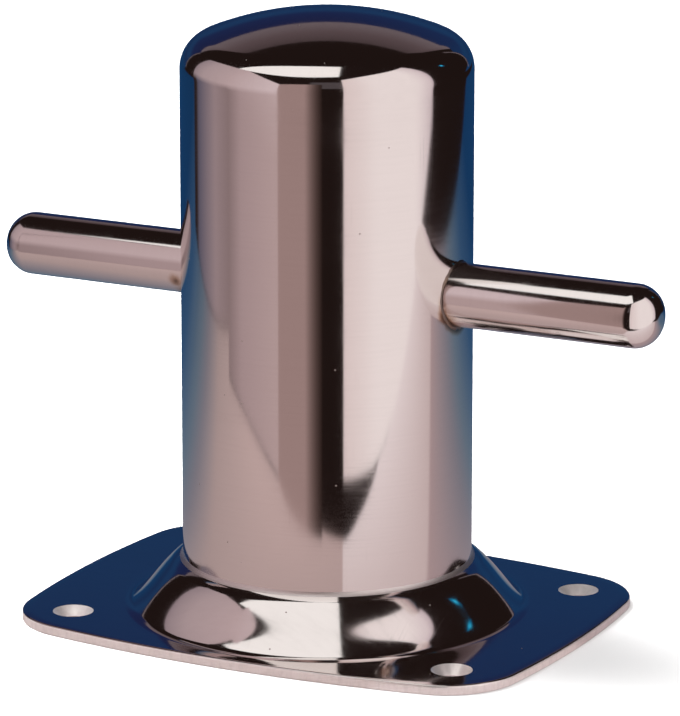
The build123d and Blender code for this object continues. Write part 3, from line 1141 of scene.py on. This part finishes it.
# %% Lamps and world
def soft_light(name, place, size, watts):
    """A square lamp that lights the floor but isn't mirrored in the steel."""
    data = bpy.data.lights.new(name, "AREA")
    data.size = size
    data.energy = watts
    lamp = bpy.data.objects.new(name, data)
    lamp.location = place
    lamp.rotation_mode = "QUATERNION"
    lamp.rotation_quaternion = (place - Vector((0, 0, 0.05))).to_track_quat("Z", "Y")
    lamp.visible_glossy = False
    bpy.context.scene.collection.objects.link(lamp)
    print(name, "gives", watts, "watts")


soft_light("key_light", studio(-0.55, -0.35, 1.1), size=0.55, watts=30)
soft_light("fill_light", studio(0.2, 0.3, 3.0), size=3.0, watts=46)

SKY_SEEN = (0.55, 0.55, 0.55, 1)
SKY_MIRRORED = (0.014, 0.008, 0.007, 1)
world = bpy.data.worlds.new("studio")
bpy.context.scene.world = world
world.use_nodes = True
sky = world.node_tree
sky_rays = node(sky, "ShaderNodeLightPath")
sky_colour = mixed(sky, sky_rays.outputs["Is Glossy Ray"], SKY_SEEN, SKY_MIRRORED)
sky.links.new(sky_colour, sky.nodes["Background"].inputs["Color"])
bpy.context.scene.view_settings.view_transform = "Standard"

# %% [markdown]
# ## The cards
#
# What makes a mirror-polished piece readable is what stands round it. Here that is a dark cloth
# behind, a table top that fades into it, a mauve card on the left, a bright softbox on the right
# with a narrow dark gap between them for the lens, and a lit sheet overhead. All of them glow
# by themselves and only the mirror sees them, so their tones are painted light and shade: each is
# the brightness the steel should show there. A card is a grid whose points carry a colour, and
# each has only a few tones, which fade into one another. A standing card is bent like paper, so
# it needs three points: where it starts, where it ends, and what it leans towards. Places are
# given from the camera, in millimetres: across, near, up.

# %% How a card glows
card_material = bpy.data.materials.new("card_glow")
card_material.use_nodes = True
card_tree = card_material.node_tree
card_tree.nodes.clear()
card_tone = node(card_tree, "ShaderNodeAttribute", attribute_name="tone")
card_glow = node(card_tree, "ShaderNodeEmission")
card_out = node(card_tree, "ShaderNodeOutputMaterial")
card_tree.links.new(card_tone.outputs["Color"], card_glow.inputs["Color"])
card_tree.links.new(card_glow.outputs[0], card_out.inputs["Surface"])


def light_of(shade):
    """Light to give off, so that the steel shows this shade (red, green, blue up to 255)."""
    linear = []
    for value, steel in zip(shade, STEEL):
        v = value / 255
        v = v / 12.92 if v <= 0.04045 else ((v + 0.055) / 1.055) ** 2.4
        linear.append(v / steel)
    return (*linear, 1.0)


def card(name, rows):
    """A card from rows of (across, near, up, shade), in millimetres."""
    places = [[studio(a * MM, n * MM, u * MM) for a, n, u, shade in row] for row in rows]
    made = grid_mesh(name, places, rows_close=False, columns_close=False)
    tones = made.data.color_attributes.new("tone", "FLOAT_COLOR", "POINT")
    for k, (a, n, u, shade) in enumerate(p for row in rows for p in row):
        tones.data[k].color = light_of(shade)
    paint(made, card_material)
    made.visible_camera = False
    made.visible_diffuse = False
    made.visible_shadow = False
    made.visible_transmission = False
    print(name, "has", len(made.data.polygons), "faces")


# %% Mixing tones and places
def shaded(shade, share):
    """A darker or brighter version of a shade."""
    return tuple(min(255, c * share) for c in shade)


def between(start, end, share):
    """A point or a tone part of the way from start to end."""
    return tuple(a + (b - a) * share for a, b in zip(start, end))


def fade(stops, place):
    """The tone at a place, from stops of (place, tone) that rise."""
    for (low, low_tone), (high, high_tone) in zip(stops, stops[1:]):
        if place <= high:
            return between(low_tone, high_tone, max(0.0, (place - low) / (high - low)))
    return stops[-1][1]


def bent(start, lean, end, share):
    """A point of a bent line, which leaves start and reaches end by way of lean."""
    return between(between(start, lean, share), between(lean, end, share), share)


# %% [markdown]
# The main tones have names, as paints do. They run from the cloth's navy over the greys of the far
# table to the mauve of the cards. A few tones in between are written where they are used.

# %% Tones
NAVY = (20, 52, 88)
SLATE = (92, 104, 118)
DUSK = (120, 114, 122)
MAUVE = (174, 149, 147)
DEEP_MAUVE = (130, 109, 109)
BROWN = (150, 123, 119)
# painted shade at the far ends of the brown card and of the second mauve card
SHADE_BROWN = (40, 28, 25)
PAPER = (228, 213, 210)
SHEET = (238, 229, 225)
RIM = (118, 104, 106)
print("from", SHADE_BROWN, "up to", SHEET)

# %% [markdown]
# The table top is what the pipe mirrors most. It fades from the cloth's navy far behind to mauve in
# front. The softbox lights its right part, and that light ends in a line which leads away from the
# post. The front is cut back a little before the lens.

# %% Table top
TABLE_FRONT = 166
TABLE_BACK = -1500
TABLE_LENS_NOTCH = 35
LENS_MIDDLE, LENS_HALF = 12, 20
RIGHT_START = -128  # in front of this, the right half has tones of its own
LIGHT_START, LIGHT_FULL = 28, 32  # the softbox's light comes in between these
LINE_ACROSS, LINE_TURN, LINE_SLANT = 3.5, 36, 0.22  # the light's line: its place, and how it slants
LEFT_EDGE, FAR_LEFT_EDGE, RIGHT_EDGE = -480, -900, 440
FAR_DEPTHS = [TABLE_BACK, -390, -245, -175]
# tones from behind to the front: left and right of the line where the softbox's light ends
TABLE_LEFT = (
    (TABLE_BACK, NAVY), (-390, NAVY), (-245, (48, 74, 104)), (RIGHT_START, SLATE), (-70, DUSK),
    (0, (164, 142, 139)), (120, (184, 158, 154)),
)
TABLE_RIGHT = (
    (RIGHT_START, SLATE), (-70, DUSK), (LIGHT_START, (162, 138, 138)),
    (LIGHT_FULL, (190, 168, 166)), (TABLE_FRONT, (220, 203, 202)),
)


def table_front(across):
    """How near the table's front edge is: it is cut back before the lens."""
    beside_lens = max(0, abs(across - LENS_MIDDLE) - LENS_HALF)
    return min(TABLE_FRONT, TABLE_FRONT - TABLE_LENS_NOTCH + 0.5 * beside_lens)


def table_row(near):
    """One row of the table top, from left to right, with a sharp step where the light ends."""
    lit_from = LINE_ACROSS + max(near - LINE_TURN, 0) * LINE_SLANT
    left = LEFT_EDGE if near > -190 else FAR_LEFT_EDGE
    right = RIGHT_EDGE + 0.1 * max(-near - 100, 0)
    dull = fade(TABLE_LEFT, near)
    lit = fade(TABLE_RIGHT, near) if near > RIGHT_START else dull
    # the far left edge is painted a little darker, as shade, and the unlit half darkens slightly towards
    # the light's line
    row = [(left, shaded(dull, 0.9)), (-200, dull), (-70, dull), (lit_from - 0.4, shaded(dull, 0.96))]
    row += [(lit_from + 0.4, lit), (60, lit), (130, lit), (250, lit), (right, lit)]
    return [(a, min(near, table_front(a)), 0, tone) for a, tone in row]


table_depths = FAR_DEPTHS + list(range(RIGHT_START, LIGHT_START, 12))
table_depths += [LIGHT_START, LIGHT_FULL] + list(range(45, TABLE_FRONT, 11)) + [TABLE_FRONT]
card("table_top", [table_row(near) for near in table_depths])

# %% [markdown]
# Four bent cards stand on the table: two mauve ones on the left, a brown one in front, and the
# softbox on the right. The pipe mirrors only their lowest part, and the neck and the cap mirror
# what is above it, so a card may have one set of tones low down and another higher up. The mauve
# cards' higher tones are lighter: painted light on their upper part. A darker foot makes the thin
# shadow line where a card meets the table.

# %% Cards that stand on the table
CARD_STEPS = 28
FOOT_SHADE = 0.55
FOOT_SHADE_HEIGHT = 1.4
LIFTED_SHARE = 0.11
LOW_PART, HIGH_PART = 90, 150  # heights between which a card's low tones turn into its high ones


def standing_card(name, line_points, tops, tones, high_tones=None, lift=0, foot_shade=1.0):
    """A bent card on its edge: its line, its first and last top, and its tones low down and high up."""
    stations = [k / CARD_STEPS for k in range(CARD_STEPS + 1)]
    places = [bent(*line_points, s) for s in stations]
    lifts = [lift * max(0.0, 1 - s / LIFTED_SHARE) for s in stations]
    top_edge = [tops[0] + (tops[1] - tops[0]) * s for s in stations]
    low = [fade(tones, s) for s in stations]
    foot = [shaded(tone, foot_shade) for tone in low]
    high = [fade(high_tones or tones, s) for s in stations]

    def level(heights, row_tones):
        """A row of the card, from the heights and tones of its points."""
        return [(a, n, up, tone) for (a, n), up, tone in zip(places, heights, row_tones)]

    count = len(stations)
    rows = [level(lifts, foot)]
    if foot_shade < 1:
        rows.append(level([FOOT_SHADE_HEIGHT] * count, foot))
        rows.append(level([FOOT_SHADE_HEIGHT + 0.2] * count, low))
    rows.append(level([LOW_PART] * count, low))
    rows.append(level([HIGH_PART] * count, high))
    rows.append(level(top_edge, high))
    card(name, rows)


# the mauve card, from the front round to the left, and a second one behind its far end; higher up both are
# painted lighter
standing_card(
    "mauve_card", ((-108, 155), (-206, 147), (-280, 56)), (208, 405),
    ((0, MAUVE), (0.7, (160, 136, 136)), (1, DEEP_MAUVE)),
    high_tones=((0, (202, 180, 181)), (1, (178, 154, 154))), foot_shade=FOOT_SHADE,
)
# the second card's far end fades to nearly black: painted shade
standing_card(
    "mauve_card_left", ((-335, 75), (-350, -80), (-388, -245)), (445, 400),
    ((0, DEEP_MAUVE), (0.3, (145, 124, 126)), (0.8, (86, 80, 94)), (0.88, SHADE_BROWN), (1, SHADE_BROWN)),
    high_tones=((0, (178, 154, 154)), (0.6, (164, 143, 144)), (1, (140, 122, 126))),
    foot_shade=FOOT_SHADE,
)
# the brown card in front, left of the lens; towards the lens it fades into painted shade
standing_card(
    "brown_card", ((-108, 155), (-60, 138), (-8, 136)), (208, 196),
    ((0, BROWN), (0.72, BROWN), (1, SHADE_BROWN)),
)
# the bright softbox: its lower left corner is lifted a little off the table
standing_card(
    "softbox", ((33, 164), (400, 190), (652, 20)), (261, 975),
    ((0, (214, 194, 191)), (0.12, PAPER), (0.5, PAPER), (0.9, (206, 187, 188)), (1, (184, 164, 168))),
    lift=7,
)

# %% [markdown]
# A lit sheet hangs flat above the left front. Its front edge is bent one way and its back edge
# another, and the neck and the cap mirror it as their brightest patch. A dim strip above the lens
# fills the gap between the cards.

# %% The sheet overhead and the strip above the lens
SHEET_UP = 400
SHEET_BACK_EDGE = ((-305, 12), (-100, 15), (30, 40))
SHEET_FRONT_EDGE = ((-303, 16), (-203, 284), (46, 228))
sheet_rows = [
    [(*bent(*edge, k / CARD_STEPS), SHEET_UP, SHEET) for k in range(CARD_STEPS + 1)]
    for edge in (SHEET_BACK_EDGE, SHEET_FRONT_EDGE)
]
card("overhead_sheet", sheet_rows)
strip_tone = shaded(RIM, 0.62)
card("strip_over_lens", [[(a, 300, up, strip_tone) for a in (-70, 90)] for up in (215, 330)])

# %% [markdown]
# The cloth hangs far behind, navy and nearly even. Above it is a dim wall, narrower as it rises,
# and a thin paler rim stands where the cloth ends on each side. They are what the post's outer
# edges mirror.

# %% The cloth behind and the wall above it
CLOTH_BEHIND = -1500
CLOTH_LEFT, CLOTH_RIGHT, CLOTH_RIGHT_FOOT = -1100, 1050, 1500
CLOTH = (
    (0, NAVY), (200, (24, 42, 74)), (330, (26, 50, 84)), (430, (26, 50, 84)),
    (560, (26, 35, 69)), (900, (26, 30, 61)), (915, (50, 46, 66)),
)
cloth_rows = []
for up, tone in CLOTH:
    right = CLOTH_RIGHT if up > 0 else CLOTH_RIGHT_FOOT
    tones = (tone, tone, between(tone, NAVY, 0.6))
    cloth_rows.append([(a, CLOTH_BEHIND, up, t) for a, t in zip((CLOTH_LEFT, 0, right), tones)])
card("cloth_behind", cloth_rows)

WALL = ((918, 1150, 830, (102, 89, 92)), (1250, 760, 790, (84, 69, 71)), (1590, 520, 740, (68, 55, 56)))
card("wall_above_cloth", [
    [(-left, CLOTH_BEHIND, up, tone), (right, CLOTH_BEHIND, up, tone)] for up, left, right, tone in WALL
])
# the thin rims left and right of the cloth
for name, start, end, top in (("rim_right", 1062, 1100, 1250), ("rim_left", -1112, -1145, 900)):
    card(name, [[(a, -1480, up, RIM) for a in (start, end)] for up in (60, top)])

# %% [markdown]
# Last, a small blue-green lamp high on the right gives one coloured glint in the neck.

# %% The small lamp
LAMP_MIDDLE, LAMP_HALF = (525, -196, 410), 24
LAMP_TONES = ((0, (70, 205, 240)), (1, (0, 120, 165)))


def lamp_point(i, j):
    """A point of the lamp, which stands at 45 degrees: i across it and j up it, from -1 to 1."""
    across, near, up = LAMP_MIDDLE
    place = (across + LAMP_HALF * i, near - LAMP_HALF * i, up + LAMP_HALF * j)
    return (*place, fade(LAMP_TONES, abs(i) + abs(j)))


lamp_rows = [[lamp_point(i, j) for i in (-1, 0, 1)] for j in (-1, 0, 1)]
card("small_lamp", lamp_rows)
